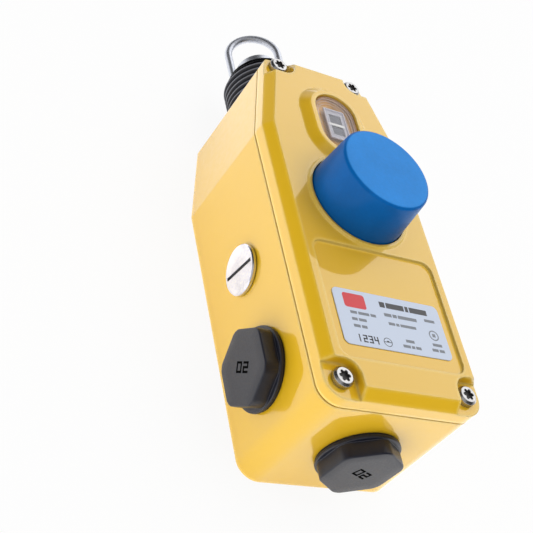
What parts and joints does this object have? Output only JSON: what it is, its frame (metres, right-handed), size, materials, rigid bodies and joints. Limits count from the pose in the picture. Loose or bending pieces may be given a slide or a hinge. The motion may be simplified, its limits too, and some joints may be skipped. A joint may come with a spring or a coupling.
{
  "type": "rope pull switch",
  "caption": "Emergency rope pull switch: a long die-cast casing with a sprung pull rod and eye, rubber bellows, domed reset button, sight window, cable plugs and blank rating label.",
  "frame": {"origin": "centre of the pattern of mounting holes, in the casing's back face", "axes": "+Y along the rope's pull, out of the bellows end; +Z out of the lid, away from the back face; +X to the right when looking at the lid with the eye at the top"},
  "size_m": [0.0666, 0.198, 0.0717],
  "materials": {
    "casing_paint": "gloss",
    "rubber_black": "matte",
    "bellows_rubber": "satin",
    "screw_steel": "satin",
    "lens_clear": "gloss",
    "sight_grey": "satin",
    "label_white": "satin",
    "button_blue": "satin",
    "plug_grey": "satin",
    "port_chrome": "polished",
    "eye_steel": "polished",
    "rod_steel": "satin",
    "spring_steel": "satin",
    "bush_bronze": "satin",
    "cam_white": "satin",
    "indicator_white": "satin",
    "frame_zinc": "satin",
    "block_black": "satin",
    "plunger_ivory": "satin",
    "terminal_brass": "satin",
    "latch_steel": "satin"
  },
  "bodies": {
    "casing": {"housing": "casing_paint", "lid": "casing_paint", "lid_gasket": "rubber_black", "lid_screws": "screw_steel", "window_lens": "lens_clear", "window_seal": "rubber_black", "sight_frame": "sight_grey", "rating_label": "label_white", "reset_spring": "spring_steel", "reset_seal": "rubber_black", "side_plug": "plug_grey", "end_plug": "plug_grey", "plug_seals": "rubber_black", "port_plugs": "port_chrome", "port_seals": "rubber_black", "bellows": "bellows_rubber", "rod_bush": "bush_bronze", "bush_nut": "screw_steel", "main_spring": "spring_steel", "mechanism_frame": "frame_zinc", "frame_screws": "screw_steel", "pull_contact_block": "block_black", "slack_contact_block": "block_black", "terminal_screws": "terminal_brass", "latch_pin": "rod_steel", "latch_spring": "spring_steel", "earth_screw": "terminal_brass"},
    "rod": {"pull_rod": "rod_steel", "pull_eye": "eye_steel", "eye_nut": "eye_steel", "spring_seat": "rod_steel", "cam_spool": "cam_white", "tension_indicator": "indicator_white"},
    "button": {"reset_button": "button_blue", "reset_stem": "rod_steel", "stem_clip": "spring_steel"},
    "pull_contact": {"pull_plunger": "plunger_ivory"},
    "slack_contact": {"slack_plunger": "plunger_ivory"},
    "latch": {"latch_lever": "latch_steel"}
  },
  "joints": [
    {"name": "rod_slide", "type": "slide", "parent": "casing", "child": "rod", "axis": [0, 1, 0], "range_m": [0, 0.012], "stiffness_N_per_m": 2000, "springref_m": -0.006, "deforming": ["bellows", "main_spring"]},
    {"name": "pull_plunger_slide", "type": "slide", "parent": "casing", "child": "pull_contact", "axis": [-1, 0, 0], "range_m": [0, 0.0025]},
    {"name": "slack_plunger_slide", "type": "slide", "parent": "casing", "child": "slack_contact", "axis": [-1, 0, 0], "range_m": [0, 0.0025]},
    {"name": "button_press", "type": "slide", "parent": "casing", "child": "button", "axis": [0, 0, -1], "range_m": [0, 0.004], "stiffness_N_per_m": 600, "springref_m": -0.003, "deforming": ["reset_spring"]},
    {"name": "latch_turn", "type": "hinge", "parent": "casing", "child": "latch", "pos_m": [0, -0.00996, 0.0354], "axis": [-1, 0, 0], "range_deg": [0, 15], "deforming": ["latch_spring"]}
  ],
  "couplings": [
    {"joint": "pull_plunger_slide", "follows": "rod_slide", "ratio": 0.2},
    {"joint": "slack_plunger_slide", "follows": "rod_slide", "ratio": 0.2},
    {"joint": "latch_turn", "follows": "button_press", "rad_per_m": 64.27}
  ]
}
